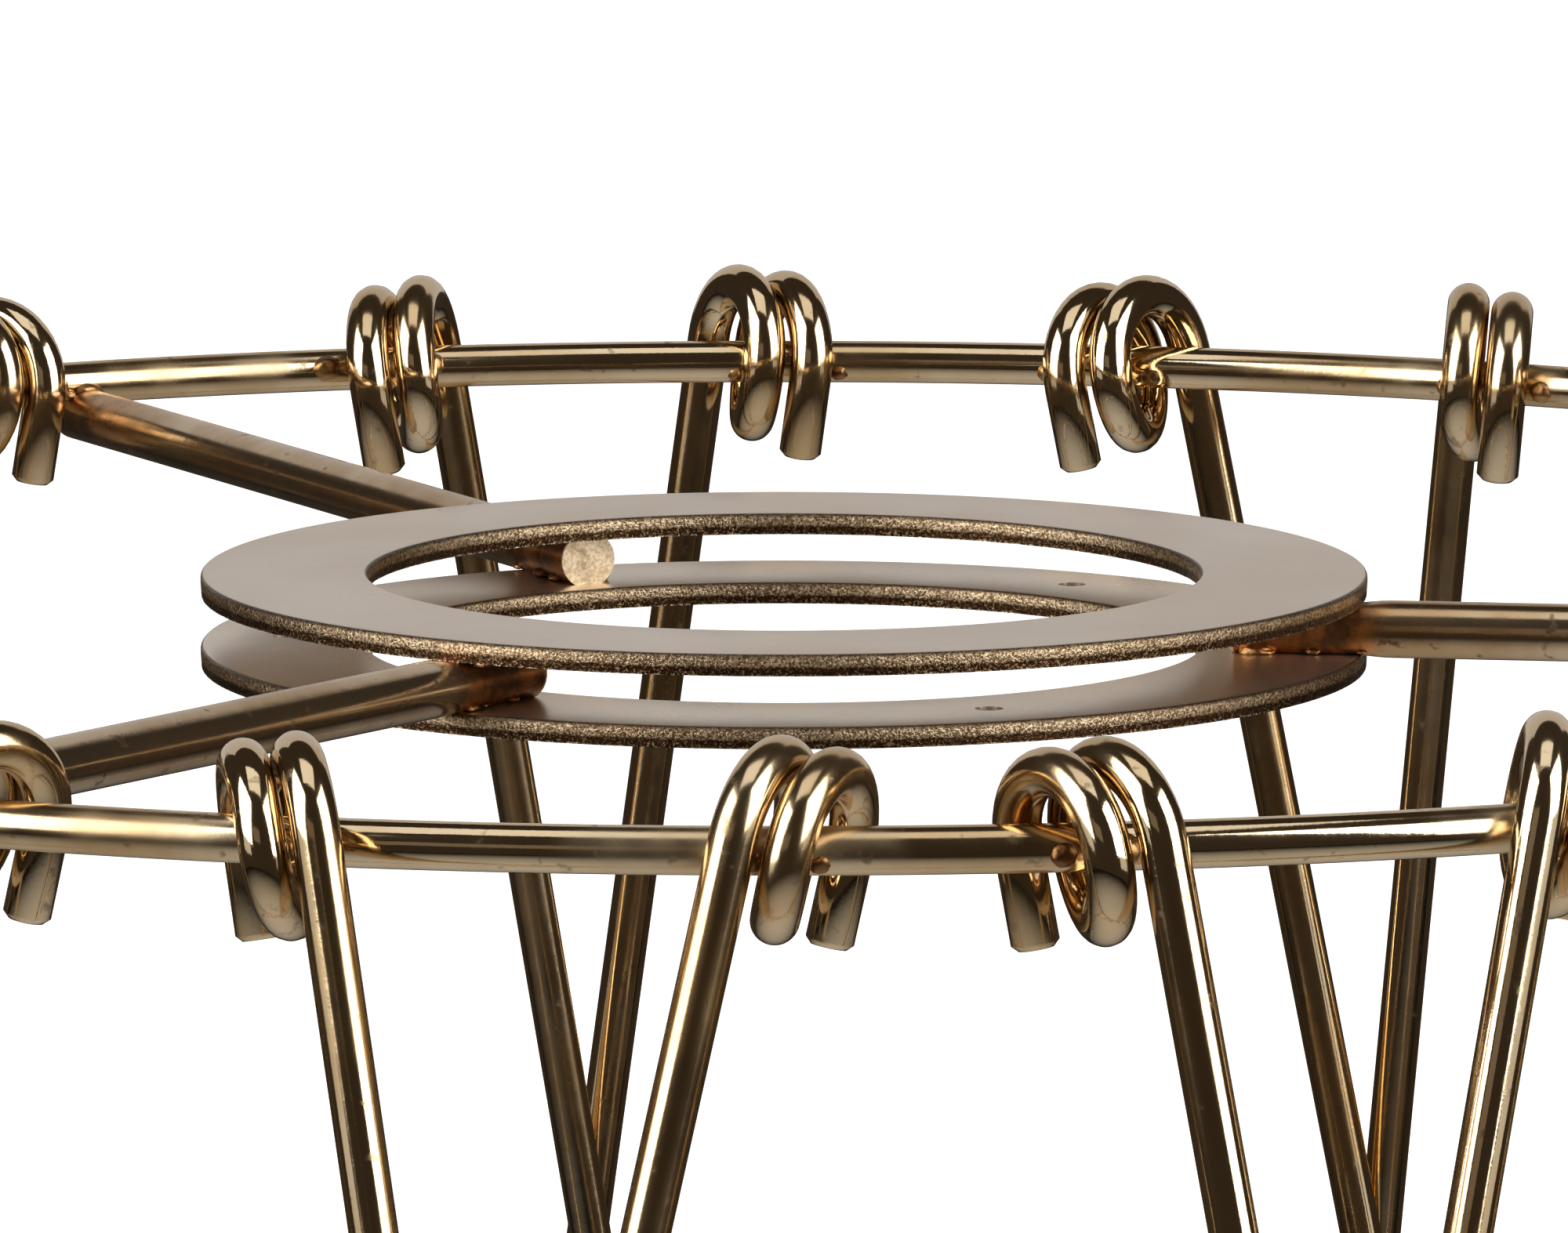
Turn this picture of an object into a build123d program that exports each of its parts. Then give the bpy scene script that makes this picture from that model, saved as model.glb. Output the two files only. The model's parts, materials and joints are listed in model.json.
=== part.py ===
from build123d import *
from math import atan2, cos, degrees, hypot, radians, sin
import os

# Wire frame of a round lampshade, in millimetres, +Z up. Two flat fitter plates hold three
# spokes, the spokes carry the top ring, and crossed pairs of lattice wires hook round the top
# ring and the wider bottom ring. The origin is the middle of the lamp-holder bore.
# Azimuths are in degrees, anticlockwise from +X seen from above.

# ---- wire sizes ----
RING_WIRE_D = 2.3
LATTICE_WIRE_D = 2.3
SPOKE_WIRE_D = 2.9
CUT_BEVEL = 0.3               # bevel that the cutter leaves on a lattice wire's ends

# ---- fitter plates ----
FITTER_BORE_D = 42.0          # standard lamp-holder hole
PLATE_LAND = 8.4              # width of the flat ring round the bore
PLATE_T = 1.1
PLATE_EDGE_R = 0.25           # rolled-over edge on each plate's outward face
SPOT_WELD_SINK = 0.2          # depth that each plate is pressed into the spokes
PINHOLE_D = 1.4               # jig holes in the middle of the lower plate's land

# ---- rings ----
TOP_RING_R = 87.0             # to the middle of the wire
BOTTOM_RING_R = 97.5
TOP_RING_RISE = 1.66          # of the top ring's wire above the spokes' centre lines
FRAME_DROP = 107.0            # from ring to ring

# ---- spokes ----
SPOKE_AZIMUTHS = (-8.3, 116.2, 235.5)
SPOKE_SETBACK = 1.8           # from the bore's wall to a spoke's inner end
SPOKE_OVERRUN = 0.6           # of a spoke past the middle of the ring's wire
RING_WELD_R = 0.8             # bead in the corner between spoke and ring

# ---- lattice ----
BACK_PAIRS = (70.8, 97.4)     # azimuths of pairs set out one by one
FRONT_PAIRS = (236.4, 262.5, 286.9)
BACK_HALF_SPREAD = 4.8        # degrees from a pair's middle to each of its two arms
FRONT_HALF_SPREAD = 6.0
SIDE_HALF_SPREAD = 5.4
TWIST = -1.7                  # degrees that each pair drifts from top ring to bottom ring
ARM_GAP = 0.04                # between the two arms where they cross
EYE_SLACK = 0.05              # between an eye and the side of the ring that it bears on
TURN_GAP = 0.1                # between the turns of an eye
EYE_SKEW = 0.43               # sideways travel of a half turn, per millimetre of eye diameter
TAIL_LENGTH = 4.5             # of an eye's straight tail, from where the bend ends
EYE_TO_SPOKE_GAP = 0.5
CROSSING_WELD_R = 1.0

# ---- sizes that follow ----
BORE_R = FITTER_BORE_D / 2
PLATE_R = BORE_R + PLATE_LAND
PINHOLE_R = BORE_R + PLATE_LAND / 2
PLATE_GAP = SPOKE_WIRE_D - 2 * SPOT_WELD_SINK
BOTTOM_RING_Z = TOP_RING_RISE - FRAME_DROP
EYE_R = RING_WIRE_D / 2 + LATTICE_WIRE_D + EYE_SLACK
EYE_SHIFT = EYE_SKEW * 2 * EYE_R
EYE_PITCH = (LATTICE_WIRE_D + TURN_GAP) * hypot(1, EYE_SKEW)
EYE_WIDTH = EYE_SHIFT + EYE_PITCH + LATTICE_WIRE_D / 2
ARM_MIDDLE_R = (TOP_RING_R + BOTTOM_RING_R) / 2 + EYE_R


def radial(azimuth):
    """Unit vector pointing outward at an azimuth."""
    return Vector(cos(radians(azimuth)), sin(radians(azimuth)), 0)


def at(radius, azimuth, height):
    """Point at a radius from the bore's axis, an azimuth and a height."""
    return radial(azimuth) * radius + Vector(0, 0, height)


def spaced(first, last, count):
    """Azimuths of count pairs evenly spaced between two others, which are left out."""
    return [first + (last - first) * step / (count + 1) for step in range(1, count + 1)]


def beside_spoke(spoke_azimuth, half_spread):
    """Azimuth of the pair whose nearer eye just clears a spoke."""
    reach = EYE_WIDTH + EYE_TO_SPOKE_GAP + SPOKE_WIRE_D / 2
    return spoke_azimuth + half_spread + degrees(reach / TOP_RING_R)


def pair_layout():
    """Middle azimuth and half spread of every pair, anticlockwise from the first spoke."""
    first = beside_spoke(SPOKE_AZIMUTHS[0], SIDE_HALF_SPREAD)
    fifth = beside_spoke(SPOKE_AZIMUTHS[1], BACK_HALF_SPREAD)
    right_back = [first] + spaced(first, BACK_PAIRS[0], 2)
    back = list(BACK_PAIRS) + [fifth]
    left = spaced(fifth, FRONT_PAIRS[0], 3) + [FRONT_PAIRS[0]]
    front = list(FRONT_PAIRS[1:])
    right_front = spaced(FRONT_PAIRS[-1], first + 360, 2)
    layout = [(azimuth, SIDE_HALF_SPREAD) for azimuth in right_back]
    layout += [(azimuth, BACK_HALF_SPREAD) for azimuth in back]
    layout += [(azimuth, SIDE_HALF_SPREAD) for azimuth in left]
    layout += [(azimuth, FRONT_HALF_SPREAD) for azimuth in front]
    layout += [(azimuth, SIDE_HALF_SPREAD) for azimuth in right_front]
    return layout


def make_ring(radius, height):
    """Closed ring of round wire."""
    with BuildPart() as ring:
        with BuildSketch(Plane.XZ):
            with Locations((radius, height)):
                Circle(RING_WIRE_D / 2)
        revolve(axis=Axis.Z)
    return ring.part


def make_plate(inner_z, outward):
    """Flat annular plate with its inward face at inner_z, growing up or down from there."""
    with BuildPart() as plate:
        with BuildSketch(Plane.XY.offset(inner_z)):
            Circle(PLATE_R)
            Circle(BORE_R, mode=Mode.SUBTRACT)
        extrude(amount=outward * PLATE_T)
        outward_face = plate.faces().sort_by(Axis.Z)[-1 if outward > 0 else 0]
        fillet(outward_face.edges(), PLATE_EDGE_R)
    return plate.part


def make_lower_plate():
    """Lower plate, with a jig hole midway between each two spokes."""
    middles = [(first + last) / 2 for first, last in zip(SPOKE_AZIMUTHS, SPOKE_AZIMUTHS[1:])]
    middles.append((SPOKE_AZIMUTHS[-1] + SPOKE_AZIMUTHS[0] + 360) / 2)
    with BuildPart() as plate:
        add(make_plate(-PLATE_GAP / 2, -1))
        with Locations([at(PINHOLE_R, azimuth, 0) for azimuth in middles]):
            Hole(PINHOLE_D / 2)
    return plate.part


def make_spoke(azimuth, neighbours):
    """Straight wire, flattened where the plates are welded on and coped round the ring."""
    start = at(BORE_R + SPOKE_SETBACK, azimuth, 0)
    length = TOP_RING_R + SPOKE_OVERRUN - BORE_R - SPOKE_SETBACK
    with BuildPart() as spoke:
        with BuildSketch(Plane(origin=start, z_dir=radial(azimuth))):
            Circle(SPOKE_WIRE_D / 2)
        extrude(amount=length)
        for neighbour in neighbours:
            add(neighbour, mode=Mode.SUBTRACT)
    return spoke.part


def make_ring_welds(neighbours):
    """One bead in the corner that each spoke makes with the inside of the top ring."""
    bead_r = TOP_RING_R - RING_WIRE_D / 2
    bead_z = SPOKE_WIRE_D / 2
    with BuildPart() as welds:
        with Locations([at(bead_r, azimuth, bead_z) for azimuth in SPOKE_AZIMUTHS]):
            Sphere(RING_WELD_R)
        for neighbour in neighbours:
            add(neighbour, mode=Mode.SUBTRACT)
    return welds.part


def arm_offset(half_spread):
    """How far each arm of a pair moves in or out, so that the two just pass where they cross.

    The inner arm spans the wider angle, so it already cuts a little further inside.
    """
    inner_half_angle = radians(half_spread - TWIST / 2)
    outer_half_angle = radians(half_spread + TWIST / 2)
    apart = ARM_MIDDLE_R * (cos(outer_half_angle) - cos(inner_half_angle))
    return (LATTICE_WIRE_D + ARM_GAP - apart) / 2


def bend_heights(half_spread):
    """Heights of an arm's bottom and top that bring the middles of its eyes level with the rings."""
    flare = (BOTTOM_RING_R - TOP_RING_R) / FRAME_DROP
    lean = 2 * radians(half_spread) * ARM_MIDDLE_R / FRAME_DROP
    for_flare = EYE_R * flare
    for_lean = (EYE_SHIFT + EYE_PITCH) / 2 * lean
    return BOTTOM_RING_Z + for_flare - for_lean, TOP_RING_RISE + for_flare + for_lean


def arm_ends(azimuth, lean, offset):
    """Bottom and top of a lattice wire's straight arm.

    The arm stands outside both rings. lean is its angle from the pair's middle at the top, and
    minus that at the bottom. offset moves it and its eyes out past the other wire of the pair.
    """
    clear = EYE_R + offset
    bottom_z, top_z = bend_heights(abs(lean))
    bottom = at(BOTTOM_RING_R + clear, azimuth + TWIST - lean, bottom_z)
    top = at(TOP_RING_R + clear, azimuth + lean, top_z)
    return bottom, top


def eye_points(arm_end, along, side):
    """Points where an eye's turns pass the level of the arm's end, from the arm to the tail.

    along points out of the arm past its ring, and side is +1 or -1 for the tail's side.
    """
    half_width = degrees((EYE_SHIFT + EYE_PITCH) / 2 / hypot(arm_end.X, arm_end.Y))
    middle = radial(degrees(atan2(arm_end.Y, arm_end.X)) + side * half_width)
    outward = (middle - along * middle.dot(along)).normalized()
    sideways = Vector(0, 0, side).cross(outward)
    sideways = (sideways - along * sideways.dot(along)).normalized()
    inner = arm_end - outward * 2 * EYE_R
    return [
        arm_end,
        inner + sideways * EYE_SHIFT,
        arm_end + sideways * EYE_PITCH,
        inner + sideways * (EYE_SHIFT + EYE_PITCH),
    ]


def half_turn(start, end, bulge):
    """Half circle from start to end that bulges along a direction square to both."""
    crown = (start + end) / 2 + bulge * ((end - start).length / 2)
    ThreePointArc(start, crown, end)


def draw_eye(points, along):
    """Over the ring, under it and over again, then the straight tail."""
    half_turn(points[0], points[1], along)
    half_turn(points[1], points[2], -along)
    half_turn(points[2], points[3], along)
    Line(points[3], points[3] - along * TAIL_LENGTH)


def make_lattice_wire(bottom, top, side):
    """One wire with a hooked eye on each end."""
    along = (top - bottom).normalized()
    with BuildPart() as wire:
        with BuildLine() as path:
            Line(bottom, top)
            draw_eye(eye_points(top, along, side), along)
            draw_eye(eye_points(bottom, -along, -side), -along)
        tail_end = eye_points(bottom, -along, -side)[3] + along * TAIL_LENGTH
        with BuildSketch(Plane(origin=tail_end, z_dir=-along)):
            Circle(LATTICE_WIRE_D / 2)
        sweep(path=path.wire())
        chamfer(wire.faces().filter_by(GeomType.PLANE).edges(), CUT_BEVEL)
    return wire.part


def make_crossing_weld(outer_ends, inner_ends, wires):
    """Weld metal drawn in between the two arms of a pair where they cross."""
    outer_arm = Edge.make_line(*outer_ends)
    inner_arm = Edge.make_line(*inner_ends)
    _, outer_point, inner_point = outer_arm.distance_to_with_closest_points(inner_arm)
    across = outer_point - inner_point
    with BuildPart() as weld:
        with BuildSketch(Plane(origin=inner_point, z_dir=across)):
            Circle(CROSSING_WELD_R)
        extrude(amount=across.length)
        for wire in wires:
            add(wire, mode=Mode.SUBTRACT)
    return weld.part


def save(solid, node):
    """Label a finished piece and write it as its own STEP file."""
    solid.label = node
    export_step(solid, f"parts/{node}.step")


def build_fitter():
    """Plates, spokes, top ring and the welds that join them."""
    upper_plate = make_plate(PLATE_GAP / 2, 1)
    lower_plate = make_lower_plate()
    top_ring = make_ring(TOP_RING_R, TOP_RING_RISE)
    spokes = [make_spoke(azimuth, [upper_plate, lower_plate, top_ring]) for azimuth in SPOKE_AZIMUTHS]
    save(upper_plate, "upper_plate")
    save(lower_plate, "lower_plate")
    save(top_ring, "top_ring")
    for number, spoke in enumerate(spokes, start=1):
        save(spoke, f"spoke_{number}")
    save(make_ring_welds([top_ring] + spokes), "spoke_to_ring_welds")


def build_lattice():
    """Every pair of lattice wires and the weld where its arms cross."""
    welds = []
    for number, (azimuth, half_spread) in enumerate(pair_layout(), start=1):
        offset = arm_offset(half_spread)
        inner_ends = arm_ends(azimuth, half_spread, -offset)
        outer_ends = arm_ends(azimuth, -half_spread, offset)
        inner_wire = make_lattice_wire(*inner_ends, side=1)
        outer_wire = make_lattice_wire(*outer_ends, side=-1)
        save(inner_wire, f"pair_{number:02d}_inner_wire")
        save(outer_wire, f"pair_{number:02d}_outer_wire")
        welds.append(make_crossing_weld(outer_ends, inner_ends, [outer_wire, inner_wire]))
    save(Compound(children=[solid for weld in welds for solid in weld.solids()]), "crossing_welds")


os.makedirs("parts", exist_ok=True)
build_fitter()
save(make_ring(BOTTOM_RING_R, BOTTOM_RING_Z), "bottom_ring")
build_lattice()
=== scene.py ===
import json
import math

import bmesh
import bpy
from mathutils import Matrix, Vector, noise


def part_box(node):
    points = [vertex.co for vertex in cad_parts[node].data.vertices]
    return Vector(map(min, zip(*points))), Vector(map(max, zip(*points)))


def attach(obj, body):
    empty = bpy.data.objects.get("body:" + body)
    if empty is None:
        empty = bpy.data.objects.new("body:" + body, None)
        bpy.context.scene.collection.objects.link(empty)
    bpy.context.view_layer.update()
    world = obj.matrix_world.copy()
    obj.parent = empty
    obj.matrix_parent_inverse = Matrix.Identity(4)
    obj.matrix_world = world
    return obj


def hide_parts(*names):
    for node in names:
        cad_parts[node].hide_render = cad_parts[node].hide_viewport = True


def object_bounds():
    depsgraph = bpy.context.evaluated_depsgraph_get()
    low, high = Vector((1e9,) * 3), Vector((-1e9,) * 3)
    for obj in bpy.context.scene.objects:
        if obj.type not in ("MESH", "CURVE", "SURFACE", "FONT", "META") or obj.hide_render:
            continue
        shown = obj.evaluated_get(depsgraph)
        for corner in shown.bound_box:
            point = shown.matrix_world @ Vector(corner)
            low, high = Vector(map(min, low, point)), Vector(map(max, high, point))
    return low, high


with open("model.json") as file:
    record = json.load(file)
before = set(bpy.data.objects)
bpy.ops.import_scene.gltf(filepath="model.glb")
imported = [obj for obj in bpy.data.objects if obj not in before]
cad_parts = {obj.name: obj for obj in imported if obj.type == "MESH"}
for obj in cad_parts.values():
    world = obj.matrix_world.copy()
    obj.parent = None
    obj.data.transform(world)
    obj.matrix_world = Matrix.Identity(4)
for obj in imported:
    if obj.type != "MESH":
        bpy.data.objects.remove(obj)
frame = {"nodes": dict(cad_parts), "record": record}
cad_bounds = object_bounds()

MM = 0.001
BODY = "root"

# ---- sizes read from the frame ----
UPPER_LOW, UPPER_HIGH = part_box("upper_plate")
LOWER_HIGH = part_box("lower_plate")[1]
BORE_R = frame["record"]["mounts"][0]["dims"]["r_mm"] * MM
PLATE_R = UPPER_HIGH.x
PLATE_T = UPPER_HIGH.z - UPPER_LOW.z
SPOKE_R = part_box("spoke_1")[1].z
SPOKES = ("spoke_1", "spoke_2", "spoke_3")
LATTICE = sorted(name for name in frame["nodes"] if name.startswith("pair_"))

# ---- detail sizes ----
RING_SIDES = 48
RING_STEPS = 360
PLATE_STEPS = 720
ROLLOVER = 0.22 * MM
ROLL_STEPS = 5
BURNISHED_SHARE = 0.45        # of the plate's thickness that is cut clean
TEAR_ROWS = 6
TEAR_DEPTH = 0.05 * MM
TEAR_GRAIN = 5500
BURR = 0.04 * MM
PINHOLE_R = 0.7 * MM
SPOKE_SIDES = 56
SPOKE_STEPS = 130
PRESS_RUN = 1.2 * MM          # length over which a spoke goes from round to flat
PRESS_BULGE = 0.03            # share by which the pressed wire widens
END_RINGS = 6
END_DENT = 0.16 * MM
CUT_BEVEL = 0.3 * MM
RING_BEAD = (0.45 * MM, 0.75 * MM, 0.36 * MM)   # half sizes along, across and up from a spoke
SIDE_BEAD = (0.34 * MM, 0.42 * MM, 0.28 * MM)
SIDE_BEAD_SHIFT = 1.1 * MM
NUGGETS = 3
NUGGET_PITCH = 2.0 * MM
NUGGET_END_GAP = 1.3 * MM     # kept clear at a spoke's inner end
TACK_OFFSET = 0.30 * MM       # from the side of an eye to the middle of its tack weld
TACK_SINK = 0.80              # a tack weld's middle, as a share of the ring wire's radius

# ---- edges that turn by more degrees than this stay sharp ----
LATTICE_CREASE = 28
SPOKE_CREASE = 45
PLATE_CREASE = 50


# ======================================================================
# Shader maths
# ======================================================================

class Socket:
    """One value of a material's node tree, with arithmetic written as Python expressions."""

    def __init__(self, shop, socket):
        self.shop = shop
        self.socket = socket

    def _math(self, operation, first, second):
        return self.shop.node("ShaderNodeMath", {"operation": operation}, {0: first, 1: second})

    def __add__(self, other):
        return self._math("ADD", self, other)

    def __radd__(self, other):
        return self._math("ADD", other, self)

    def __sub__(self, other):
        return self._math("SUBTRACT", self, other)

    def __rsub__(self, other):
        return self._math("SUBTRACT", other, self)

    def __mul__(self, other):
        return self._math("MULTIPLY", self, other)

    def __rmul__(self, other):
        return self._math("MULTIPLY", other, self)

    def __truediv__(self, other):
        return self._math("DIVIDE", self, other)

    def __rtruediv__(self, other):
        return self._math("DIVIDE", other, self)

    def larger(self, other):
        return self._math("MAXIMUM", self, other)

    def step(self, low, high):
        """0 at low, 1 at high, smooth between."""
        return self.shop.node("ShaderNodeMapRange", {"interpolation_type": "SMOOTHSTEP"},
                              {"Value": self, "From Min": low, "From Max": high})


class Finish:
    """A new material and the one method that adds its nodes."""

    def __init__(self, name):
        self.material = bpy.data.materials.new(name)
        self.material.use_nodes = True
        self.tree = self.material.node_tree
        self.shader = self.tree.nodes["Principled BSDF"]

    def node(self, kind, settings=None, values=None, output=0):
        """Add a node with its settings and socket values, and return one of its outputs."""
        made = self.tree.nodes.new(kind)
        for key, value in (settings or {}).items():
            setattr(made, key, value)
        for key, value in (values or {}).items():
            self.feed(made.inputs[key], value)
        return Socket(self, made.outputs[output])

    def feed(self, target, value):
        if isinstance(value, Socket):
            self.tree.links.new(value.socket, target)
        else:
            target.default_value = value

    def place(self):
        return self.node("ShaderNodeTexCoord", output="Object")

    def noise(self, scale, detail=3.0, roughness=0.5):
        return self.node("ShaderNodeTexNoise", {}, {
            "Vector": self.place(), "Scale": scale, "Detail": detail, "Roughness": roughness}, "Fac")

    def mix(self, factor, first, second):
        """Colour that is first at factor 0 and second at factor 1."""
        return self.node("ShaderNodeMix", {"data_type": "RGBA"}, {0: factor, 6: first, 7: second}, 2)

    def axis(self, number):
        return self.node("ShaderNodeSeparateXYZ", {}, {"Vector": self.place()}, number)

    def radius(self):
        """Distance from the bore's axis."""
        x, y = self.axis(0), self.axis(1)
        return self.node("ShaderNodeMath", {"operation": "SQRT"}, {0: x * x + y * y})

    def bump(self, height, strength, distance, under=None):
        values = {"Height": height, "Strength": strength, "Distance": distance}
        if under is not None:
            values["Normal"] = under
        return self.node("ShaderNodeBump", {}, values)

    def surface(self, **values):
        for name, value in values.items():
            self.feed(self.shader.inputs[name.replace("_", " ")], value)
        return self.material


def rgb(red, green, blue):
    """Colour from 0-255 screen values."""
    def linear(value):
        value = value / 255
        return value / 12.92 if value <= 0.04045 else ((value + 0.055) / 1.055) ** 2.4
    return (linear(red), linear(green), linear(blue), 1.0)


# ======================================================================
# Finishes
# ======================================================================

def bright_wire(name, light, deep, polish, grime, dulling):
    """Drawn brass wire: bright metal, a slow drift of colour, fine pits, handling marks and, by
    the amount of dulling, places rubbed matt."""
    make = Finish(name)
    drift = make.noise(90, 4, 0.6).step(0.35, 0.68)
    spots = make.noise(900, 3, 0.55).step(0.62, 0.74)
    color = make.mix(drift, light, deep)
    color = make.mix(spots * grime, color, rgb(92, 66, 40))
    pits = make.noise(5200, 2, 0.6)
    waves = make.noise(420, 2, 0.5)
    relief = make.bump(pits, 0.12, 0.02 * MM, make.bump(waves, 0.22, 0.06 * MM))
    rubbed = make.noise(38, 4, 0.65).step(0.50, 0.66)
    rough = polish + 0.10 * drift + 0.16 * spots + dulling * rubbed
    return make.surface(Base_Color=color, Metallic=1.0, Roughness=rough, Normal=relief)


def plate_finish(name, top_z, pale, deep):
    """Satin sheet brass: fine speckle on its faces, and a sheared edge whose light and shade are painted: a
    painted dark shade line along the rolled-over top, a painted bright highlight glittering along the cut, a
    darker torn foot that is partly the torn metal's own colour and partly painted shade, and painted glints
    along the bottom rim. pale and deep are its face colours."""
    make = Finish(name)
    radius = make.radius()
    outer = radius.step(PLATE_R - 0.16 * MM, PLATE_R - 0.08 * MM)
    inner = 1 - radius.step(BORE_R + 0.08 * MM, BORE_R + 0.16 * MM)
    edge = outer.larger(inner)
    cloud = make.noise(60, 4, 0.6).step(0.3, 0.7)
    speck = make.noise(2600, 3, 0.7)
    glitter = make.noise(7600, 3, 0.7)
    patch = make.noise(260, 3, 0.6).step(0.38, 0.62)
    drop = (top_z - make.axis(2)) / PLATE_T + 0.16 * (make.noise(900, 3, 0.6) - 0.5)
    face = make.mix(cloud, pale, deep)
    face = make.mix(speck.step(0.56, 0.72) * 0.22, face, rgb(196, 174, 150))
    # Painted highlight: the band below the rolled-over top is coloured bright and glittering, in place of the
    # light that the cut catches.
    cut = make.mix(glitter.step(0.40, 0.62), rgb(128, 98, 66), rgb(250, 224, 186))
    # Torn foot: darker, with sparse glints and darker patches; the darkness is partly the torn metal's own
    # colour and partly painted shade, and the glints are painted highlights.
    torn = make.mix(glitter.step(0.50, 0.66), rgb(58, 38, 22), rgb(196, 160, 118))
    torn = make.mix(patch * 0.6, torn, rgb(70, 46, 28))
    sheared = make.mix(drop.step(0.50, 0.66), cut, torn)
    # Painted shade: a dark line along the rolled-over top of the edge.
    sheared = make.mix((1 - drop.step(0.10, 0.26)) * 0.85, sheared, rgb(48, 34, 22))
    # Painted highlight: bright glints along the bottom rim of the edge.
    rim = drop.step(0.90, 1.02) * glitter.step(0.46, 0.56)
    sheared = make.mix(rim * 0.8, sheared, rgb(244, 224, 194))
    color = make.mix(edge, face, sheared)
    rough = 0.25 + 0.06 * cloud + 0.05 * speck - 0.03 * edge
    fine = make.bump(speck, 0.12, 0.02 * MM)
    relief = make.bump(glitter * edge, 0.8, 0.07 * MM, fine)
    return make.surface(Base_Color=color, Metallic=1.0, Roughness=rough, Normal=relief)


def spoke_wire_finish(start, ring_r):
    """Spoke wire: bright along its length, heat-tinted where it is welded to the plates and the
    ring, and pale and hammered on its cut inner end. start and ring_r are the distances from the
    bore's axis to that end and to the ring."""
    make = Finish("dull_spoke_wire")
    radius = make.radius()
    drift = make.noise(90, 4, 0.6).step(0.35, 0.68)
    spots = make.noise(900, 3, 0.55).step(0.62, 0.74)
    pits = make.noise(5200, 2, 0.6)
    wobble = 3.0 * MM * (make.noise(420, 3, 0.6) - 0.5)
    at_plates = 1 - (radius + wobble).step(PLATE_R - 0.5 * MM, PLATE_R + 1.8 * MM)
    at_ring = (radius + wobble).step(ring_r - 16 * MM, ring_r - 4 * MM)
    hot = at_plates.larger(0.55 * at_ring)
    tip = 1 - radius.step(start + 0.10 * MM, start + 0.24 * MM)
    color = make.mix(drift, rgb(214, 194, 164), rgb(184, 152, 112))
    color = make.mix(spots * 0.8, color, rgb(92, 66, 40))
    tint = make.mix(make.noise(700, 4, 0.6).step(0.36, 0.62), rgb(206, 132, 66), rgb(104, 62, 34))
    color = make.mix(hot * 0.85, color, tint)
    color = make.mix(tip, color, make.mix(pits.step(0.4, 0.6), rgb(240, 220, 188), rgb(214, 188, 148)))
    rough = 0.15 + 0.08 * drift + 0.16 * spots + 0.14 * hot + 0.22 * tip
    relief = make.bump(pits, 0.14, 0.02 * MM, make.bump(make.noise(420, 2, 0.5), 0.22, 0.06 * MM))
    return make.surface(Base_Color=color, Metallic=1 - 0.5 * tip, Roughness=rough, Normal=relief)


def weld_finish():
    """Weld metal: scaled, darker and rougher than the wire."""
    make = Finish("weld_bead")
    scale = make.noise(1800, 4, 0.65)
    heat = make.noise(300, 2, 0.5).step(0.35, 0.65)
    color = make.mix(heat, rgb(182, 140, 92), rgb(112, 78, 48))
    relief = make.bump(scale, 0.6, 0.08 * MM)
    return make.surface(Base_Color=color, Metallic=1.0, Roughness=0.22 + 0.3 * scale, Normal=relief)


# ======================================================================
# Pieces
# ======================================================================

def finish_piece(mesh, name, material, nodes):
    """Put a finished mesh in the scene in place of its CAD nodes."""
    piece = bpy.data.objects.new(name, mesh)
    bpy.context.scene.collection.objects.link(piece)
    mesh.materials.append(material)
    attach(piece, BODY)
    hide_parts(*nodes)
    return piece


def to_mesh(shape, name, smooth=True):
    """Turn a finished bmesh into a mesh with its faces pointing outward."""
    bmesh.ops.recalc_face_normals(shape, faces=shape.faces)
    for face in shape.faces:
        face.smooth = smooth
    mesh = bpy.data.meshes.new(name)
    shape.to_mesh(mesh)
    shape.free()
    return mesh


def merged_copy(node):
    """Copy of a CAD node's mesh with its loose triangles joined."""
    shape = bmesh.new()
    shape.from_mesh(frame["nodes"][node].data)
    bmesh.ops.remove_doubles(shape, verts=shape.verts, dist=0.0005 * MM)
    return shape


def crease_sharp_edges(mesh, degrees):
    """Keep the edges that turn by more than this sharp in smooth shading."""
    mesh.set_sharp_from_angle(angle=math.radians(degrees))


def ring_sizes(node):
    """Radius to the middle of a ring's wire, the wire's own radius, and the height it lies at."""
    low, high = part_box(node)
    wire_r = (high.z - low.z) / 2
    return high.x - wire_r, wire_r, (low.z + high.z) / 2


def lattice_wire(node, material):
    """Bent wire of the lattice, as modelled in CAD, with smooth shading."""
    mesh = to_mesh(merged_copy(node), node + "_wire")
    crease_sharp_edges(mesh, LATTICE_CREASE)
    finish_piece(mesh, node + "_bright", material, [node])


def wire_ring(node, name, material):
    """Closed ring of round wire, spun from one circle."""
    ring_r, wire_r, level = ring_sizes(node)
    shape = bmesh.new()
    turned = Matrix.Translation((ring_r, 0, level)) @ Matrix.Rotation(math.pi / 2, 4, "X")
    circle = bmesh.ops.create_circle(shape, segments=RING_SIDES, radius=wire_r, matrix=turned)
    profile = list(shape.edges)
    bmesh.ops.spin(shape, geom=profile + circle["verts"], cent=(0, 0, 0), axis=(0, 0, 1),
                   angle=math.tau, steps=RING_STEPS, use_merge=True)
    bmesh.ops.remove_doubles(shape, verts=shape.verts, dist=0.001 * MM)
    finish_piece(to_mesh(shape, name), name, material, [node])


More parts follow.
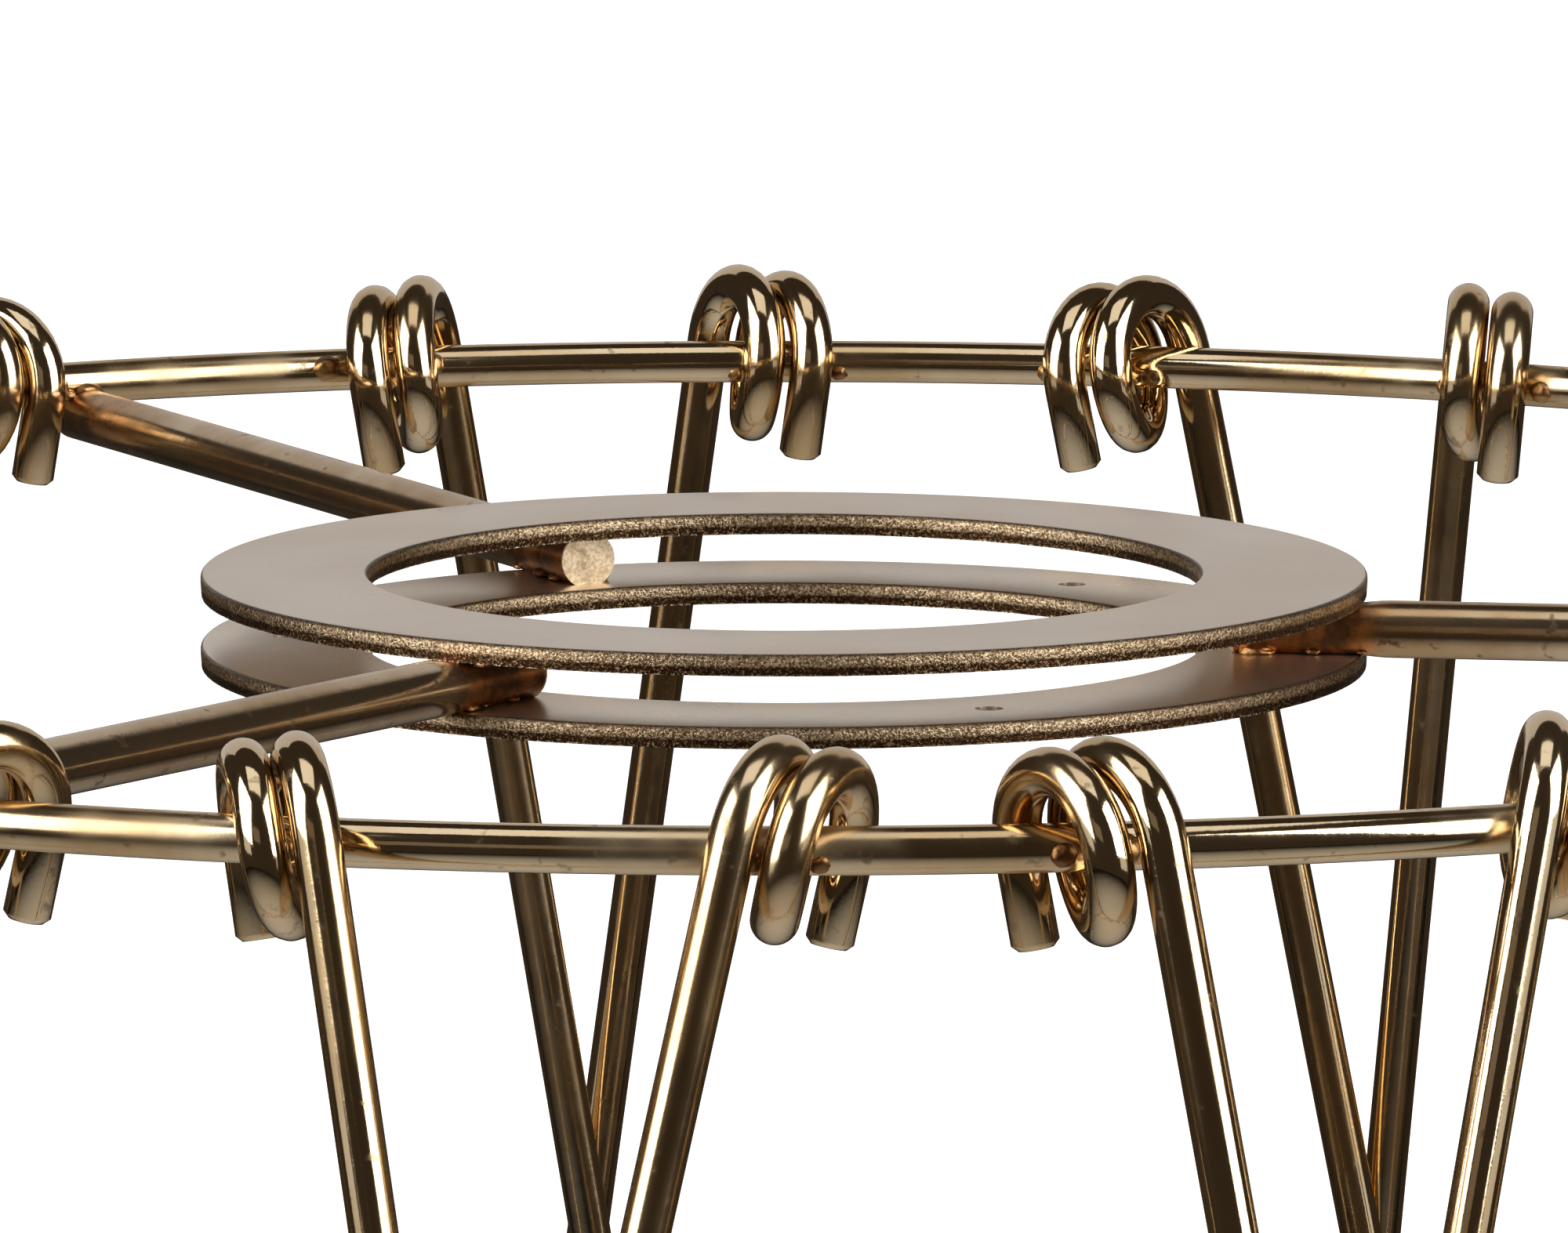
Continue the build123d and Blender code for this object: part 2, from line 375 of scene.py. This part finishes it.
def rim_profile(radius, outward):
    """Half of a sheared edge, from the rolled-over top to the torn bottom, as (radius, height)
    with the height measured down from the sheet's upper face."""
    points = []
    for step in range(ROLL_STEPS + 1):
        turn = math.pi / 2 * step / ROLL_STEPS
        inset = ROLLOVER * (1 - math.sin(turn))
        points.append((radius - outward * inset, ROLLOVER * (1 - math.cos(turn))))
    burnished = PLATE_T * BURNISHED_SHARE
    points.append((radius, burnished))
    for step in range(1, TEAR_ROWS + 1):
        share = step / TEAR_ROWS
        points.append((radius - outward * BURR * share, burnished + (PLATE_T - burnished) * share))
    return points


def tear_edge(shape, top_z):
    """Roughen the lower part of both sheared edges, where the sheet tore instead of cutting."""
    for vert in shape.verts:
        radius = math.hypot(vert.co.x, vert.co.y)
        drop = (top_z - vert.co.z) / PLATE_T
        if drop < BURNISHED_SHARE * 0.8 or BORE_R + 2 * BURR < radius < PLATE_R - 2 * BURR:
            continue
        grain = noise.noise(vert.co * TEAR_GRAIN) + 0.6 * noise.noise(vert.co * TEAR_GRAIN * 2.7)
        into_metal = 1 if radius < (BORE_R + PLATE_R) / 2 else -1
        depth = TEAR_DEPTH * min(1.0, 3 * (drop - 0.8 * BURNISHED_SHARE)) * abs(grain)
        vert.co.x += into_metal * depth * vert.co.x / radius
        vert.co.y += into_metal * depth * vert.co.y / radius


def pinholes(piece, node):
    """Drill the jig holes midway between the spokes through a plate."""
    low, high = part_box(node)
    middle = (BORE_R + PLATE_R) / 2
    bearings = sorted(spoke_bearing(name) % math.tau for name in SPOKES)
    for first, last in zip(bearings, bearings[1:] + [bearings[0] + math.tau]):
        bearing = (first + last) / 2
        place = Vector((middle * math.cos(bearing), middle * math.sin(bearing), (low.z + high.z) / 2))
        drill = bmesh.new()
        bmesh.ops.create_cone(drill, cap_ends=True, segments=40, radius1=PINHOLE_R, radius2=PINHOLE_R,
                              depth=4 * PLATE_T, matrix=Matrix.Translation(place))
        cutter = bpy.data.objects.new("drill", to_mesh(drill, "drill", smooth=False))
        bpy.context.scene.collection.objects.link(cutter)
        cut = piece.modifiers.new("pinhole", "BOOLEAN")
        cut.object = cutter
        cut.operation = "DIFFERENCE"
        cut.solver = "EXACT"
        result = piece.evaluated_get(bpy.context.evaluated_depsgraph_get())
        piece.data = bpy.data.meshes.new_from_object(result)
        piece.modifiers.clear()
        bpy.data.objects.remove(cutter)


def plate(node, pale, deep, drilled):
    """Sheet ring spun from its section, sheared inside and out."""
    top_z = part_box(node)[1].z
    outline = rim_profile(PLATE_R, 1) + rim_profile(BORE_R, -1)[::-1]
    shape = bmesh.new()
    loop = [shape.verts.new((radius, 0, top_z - drop)) for radius, drop in outline]
    section = [shape.edges.new(pair) for pair in zip(loop, loop[1:] + loop[:1])]
    bmesh.ops.spin(shape, geom=loop + section, cent=(0, 0, 0), axis=(0, 0, 1),
                   angle=math.tau, steps=PLATE_STEPS, use_merge=True)
    bmesh.ops.remove_doubles(shape, verts=shape.verts, dist=0.0005 * MM)
    tear_edge(shape, top_z)
    finish = plate_finish("satin_" + node, top_z, pale, deep)
    piece = finish_piece(to_mesh(shape, node + "_sheet"), node + "_sheet", finish, [node])
    if drilled:
        pinholes(piece, node)
    crease_sharp_edges(piece.data, PLATE_CREASE)


def spoke_bearing(node):
    """Azimuth of a spoke: the middle of its box lies on its axis."""
    low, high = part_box(node)
    middle = (low + high) / 2
    return math.atan2(middle.y, middle.x)


def spoke_span(node):
    """Distances of a spoke's two ends from the bore's axis."""
    low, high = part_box(node)
    middle = ((low + high) / 2).to_2d().length
    bearing = spoke_bearing(node)
    length = (high.x - low.x - 2 * SPOKE_R * abs(math.sin(bearing))) / abs(math.cos(bearing))
    return middle - length / 2, middle + length / 2


def hammered_end(shape, face):
    """Ring a cut end with edge loops and dent it, as the cutter and the welder left it."""
    middle = face.calc_center_median()
    outward = face.normal.copy()
    for step in range(END_RINGS):
        bmesh.ops.inset_region(shape, faces=[face], thickness=SPOKE_R / (END_RINGS + 1.5),
                               use_even_offset=False)
    for vert in shape.verts:
        offset = vert.co - middle
        rim = offset.length / SPOKE_R
        if abs(offset.dot(outward)) > 0.01 * MM or rim > 0.97:
            continue
        dent = noise.noise(vert.co * 1300) + 0.5 * noise.noise(vert.co * 2900)
        vert.co += outward * END_DENT * (0.45 * (1 - rim * rim) + 0.7 * dent * (1 - rim ** 4) - 0.25)


def press_flat(shape, along):
    """Flatten a spoke where the plates were squeezed onto it, and let it bulge a little sideways."""
    for vert in shape.verts:
        press = min(1.0, max(0.0, (PLATE_R - vert.co.to_2d().length) / PRESS_RUN + 1))
        flat = SPOKE_R + (UPPER_LOW.z - SPOKE_R) * press
        vert.co.z = max(-flat, min(flat, vert.co.z))
        across = vert.co - along * vert.co.dot(along)
        vert.co += PRESS_BULGE * press * Vector((across.x, across.y, 0))


def spoke(node, material):
    """Straight thick wire with a chamfered outer end and a hammered inner one."""
    bearing = spoke_bearing(node)
    start, end = spoke_span(node)
    along = Vector((math.cos(bearing), math.sin(bearing), 0))
    aim = Matrix.Rotation(bearing, 4, "Z") @ Matrix.Rotation(math.pi / 2, 4, "Y")
    shape = bmesh.new()
    bmesh.ops.create_circle(shape, segments=SPOKE_SIDES, radius=SPOKE_R,
                            matrix=Matrix.Translation(along * start) @ aim)
    front = list(shape.edges)
    inner_end = bmesh.ops.contextual_create(shape, geom=front)["faces"][0]
    for step in range(SPOKE_STEPS):
        made = bmesh.ops.extrude_edge_only(shape, edges=front)["geom"]
        moved = [item for item in made if isinstance(item, bmesh.types.BMVert)]
        front = [item for item in made if isinstance(item, bmesh.types.BMEdge)
                 and all(vert in moved for vert in item.verts)]
        bmesh.ops.translate(shape, verts=moved, vec=along * (end - start) / SPOKE_STEPS)
    outer_end = bmesh.ops.contextual_create(shape, geom=front)["faces"][0]
    bmesh.ops.recalc_face_normals(shape, faces=shape.faces)
    bmesh.ops.bevel(shape, geom=list(outer_end.edges), offset=CUT_BEVEL, offset_type="OFFSET", segments=3,
                    profile=0.5, affect="EDGES", material=-1)
    hammered_end(shape, inner_end)
    press_flat(shape, along)
    mesh = to_mesh(shape, node + "_wire")
    crease_sharp_edges(mesh, SPOKE_CREASE)
    finish_piece(mesh, node + "_wire", material, [node])


def blob(shape, place, radii, bearing, seed, fineness=4):
    """One lumpy drop of weld metal."""
    made = bmesh.ops.create_icosphere(shape, subdivisions=fineness, radius=1.0)["verts"]
    for vert in made:
        lump = 1 + 0.16 * noise.noise(vert.co * 1.7 + Vector((seed, 0, 0))) + 0.05 * noise.noise(vert.co * 6)
        vert.co = Vector((vert.co.x * radii[0], vert.co.y * radii[1], vert.co.z * radii[2])) * lump
    turn = Matrix.Translation(place) @ Matrix.Rotation(bearing, 4, "Z")
    bmesh.ops.transform(shape, matrix=turn, verts=made)


def eye_sides(node, ring_r, wire_r, level, outside):
    """Bearings just beside a lattice wire's eye, where it passes outside or inside a ring."""
    beside = []
    for vert in frame["nodes"][node].data.vertices:
        if abs(vert.co.z - level) < 0.35 * wire_r and (vert.co.to_2d().length > ring_r) == outside:
            beside.append(vert.co.to_2d().normalized())
    middle = sum(beside, Vector((0, 0)))
    turns = [middle.angle_signed(place) for place in beside]
    bearing = math.atan2(middle.y, middle.x)
    clear = TACK_OFFSET / ring_r
    return bearing - min(turns) + clear, bearing - max(turns) - clear


def tack_welds(shape, ring):
    """Small beads on a ring, close against both sides of every eye."""
    ring_r, wire_r, level = ring_sizes(ring)
    for number, node in enumerate(LATTICE):
        for outside in (True, False):
            for bearing in eye_sides(node, ring_r, wire_r, level, outside):
                chance = noise.noise(Vector((number * 1.3, bearing * 5, wire_r / MM)))
                tilt = -0.25 + 0.8 * chance      # above or below the ring's level
                reach = ring_r + (TACK_SINK if outside else -TACK_SINK) * wire_r * math.cos(tilt)
                place = Vector((reach * math.cos(bearing), reach * math.sin(bearing),
                                level + TACK_SINK * wire_r * math.sin(tilt)))
                size = (0.56 + 0.24 * chance) * MM
                blob(shape, place, (size, 1.2 * size, size), bearing, number + bearing, 3)


def weld_beads(material):
    """Beads where each spoke meets the top ring, nuggets squeezed out beside it at the plates, and
    the tacks that hold the eyes."""
    shape = bmesh.new()
    ring_r, wire_r, level = ring_sizes("top_ring")
    up = Vector((0, 0, 1))
    for number, node in enumerate(SPOKES):
        bearing = spoke_bearing(node)
        along = Vector((math.cos(bearing), math.sin(bearing), 0))
        aside = Vector((-along.y, along.x, 0))
        corner = along * (ring_r - wire_r)
        nearest = spoke_span(node)[0] + NUGGET_END_GAP
        blob(shape, corner + up * SPOKE_R * 0.95, RING_BEAD, bearing, number)
        blob(shape, corner + aside * SIDE_BEAD_SHIFT + up * SPOKE_R * 0.8, SIDE_BEAD, bearing, number + 7)
        for side in (-1, 1):
            for face_z in (UPPER_LOW.z, LOWER_HIGH.z):
                for step in range(NUGGETS):
                    chance = noise.noise(Vector((number * 1.7, side * 2.3 + face_z / MM, step * 3.1)))
                    from_rim = step * NUGGET_PITCH + (1.0 + 2.4 * chance) * MM
                    reach = max(nearest, PLATE_R - from_rim)
                    size = (0.38 + 0.5 * chance) * MM
                    place = along * reach + aside * side * SPOKE_R * 0.72 + up * face_z * 0.86
                    blob(shape, place, (size * 1.5, size, size * 0.55), bearing, number + 3 * side + step)
    tack_welds(shape, "top_ring")
    tack_welds(shape, "bottom_ring")
    mesh = to_mesh(shape, "weld_beads")
    finish_piece(mesh, "weld_beads", material, ["spoke_to_ring_welds"])


def crossing_welds(material):
    """Beads where the two arms of each pair cross, as modelled in CAD."""
    mesh = to_mesh(merged_copy("crossing_welds"), "crossing_weld_beads")
    crease_sharp_edges(mesh, LATTICE_CREASE)
    finish_piece(mesh, "crossing_weld_beads", material, ["crossing_welds"])


# ======================================================================
# Build
# ======================================================================

lattice_finish = bright_wire("bright_lattice_wire", rgb(227, 204, 168), rgb(207, 175, 128), 0.06, 0.45, 0.08)
ring_finish = bright_wire("bright_ring_wire", rgb(222, 200, 164), rgb(200, 170, 128), 0.08, 0.55, 0.28)
spoke_finish = spoke_wire_finish(spoke_span("spoke_1")[0], ring_sizes("top_ring")[0])
bead_finish = weld_finish()

for node in LATTICE:
    lattice_wire(node, lattice_finish)
wire_ring("top_ring", "top_ring_wire", ring_finish)
wire_ring("bottom_ring", "bottom_ring_wire", ring_finish)
for node in SPOKES:
    spoke(node, spoke_finish)
# The two plates are one satin brass. The lower plate's colours are painted lighter than the upper's: painted
# light that offsets the shade and dark reflection under the upper plate.
plate("upper_plate", rgb(235, 222, 208), rgb(227, 212, 195), drilled=False)
plate("lower_plate", rgb(246, 234, 218), rgb(238, 223, 205), drilled=True)
weld_beads(bead_finish)
crossing_welds(bead_finish)


# ======================================================================
# Studio
# ======================================================================

FLOOR_Z = cad_bounds[0][2]
CARD_DROP = 1.0
CAMERA_DISTANCE = 0.94848
CAMERA_PITCH = math.radians(8.18)
FOCAL_LENGTH = 432.0


def disc(name, radius, height, material):
    """Flat round stage piece."""
    shape = bmesh.new()
    bmesh.ops.create_circle(shape, cap_ends=True, segments=96, radius=radius,
                            matrix=Matrix.Translation((0, 0, height)))
    piece = bpy.data.objects.new(name, to_mesh(shape, name, smooth=False))
    piece.data.materials.append(material)
    bpy.context.scene.collection.objects.link(piece)
    return piece


def pale_floor():
    """Pale floor that the camera sees; the metal mirrors the table card below instead."""
    make = Finish("pale_floor")
    paint = make.surface(Base_Color=(0.85, 0.85, 0.85, 1), Roughness=0.9,
                         Emission_Color=(1, 1, 1, 1), Emission_Strength=0.78)
    floor = disc("pale_floor", 6.0, FLOOR_Z, paint)
    floor.visible_glossy = False
    floor.visible_shadow = False


def table_card():
    """Pale card well below the frame, seen only in its polish and fading outward."""
    make = Finish("table_card")
    fade = 1 - make.radius().step(0.0, 2.3)
    glow = make.node("ShaderNodeCombineColor", {}, {0: 0.52 * fade, 1: 0.51 * fade, 2: 0.50 * fade})
    paint = make.surface(Base_Color=(0, 0, 0, 1), Roughness=1.0,
                         Emission_Color=glow, Emission_Strength=1.0)
    card = disc("table_card", 2.4, -CARD_DROP, paint)
    card.visible_camera = False
    card.visible_diffuse = False
    card.visible_shadow = False


def softbox(name, bearing, rise, reach, width, height, glow, color=(1, 1, 1)):
    """Rectangular light facing the frame. bearing and rise are its direction from the frame in
    degrees, and glow the brightness of its face."""
    level = reach * math.cos(math.radians(rise))
    place = Vector((level * math.cos(math.radians(bearing)), level * math.sin(math.radians(bearing)),
                    reach * math.sin(math.radians(rise))))
    light = bpy.data.lights.new(name, "AREA")
    light.shape = "RECTANGLE"
    light.size = width
    light.size_y = height
    light.energy = glow * math.pi * width * height
    light.color = color
    lamp = bpy.data.objects.new(name, light)
    lamp.location = place
    lamp.rotation_euler = (-place).to_track_quat("-Z", "Y").to_euler()
    lamp.visible_camera = False
    bpy.context.scene.collection.objects.link(lamp)


def dim_room():
    """Faint warm light from every side."""
    world = bpy.data.worlds.new("room")
    bpy.context.scene.world = world
    world.use_nodes = True
    world.node_tree.nodes["Background"].inputs["Color"].default_value = (0.037, 0.029, 0.021, 1)


def camera():
    """Long lens a little above the frame, from the front."""
    lens = bpy.data.cameras.new("camera")
    lens.lens = FOCAL_LENGTH
    lens.sensor_width = 36.0
    lens.clip_end = 50
    viewer = bpy.data.objects.new("camera", lens)
    viewer.location = (0, -CAMERA_DISTANCE * math.cos(CAMERA_PITCH), CAMERA_DISTANCE * math.sin(CAMERA_PITCH))
    viewer.rotation_euler = (math.pi / 2 - CAMERA_PITCH, 0, 0)
    bpy.context.scene.collection.objects.link(viewer)
    bpy.context.scene.camera = viewer


pale_floor()
table_card()
dim_room()
softbox("left_softbox", 206, 25, 1.6, 1.35, 1.50, 4.4)
softbox("right_softbox", 331, 25, 1.6, 1.25, 1.50, 4.4)
softbox("left_low_softbox", 202, -5, 1.6, 0.9, 0.34, 0.6)
softbox("right_low_softbox", 338, -5, 1.6, 0.9, 0.34, 0.6)
softbox("overhead_softbox", 265, 80, 1.5, 1.1, 0.9, 1.0)
softbox("back_panel", 90, 21, 2.0, 2.8, 1.7, 0.50, (1, 0.97, 0.95))
softbox("front_fill", 250, 14, 2.0, 0.9, 0.5, 0.16, (1, 0.85, 0.7))
camera()
bpy.context.scene.view_settings.view_transform = "Standard"
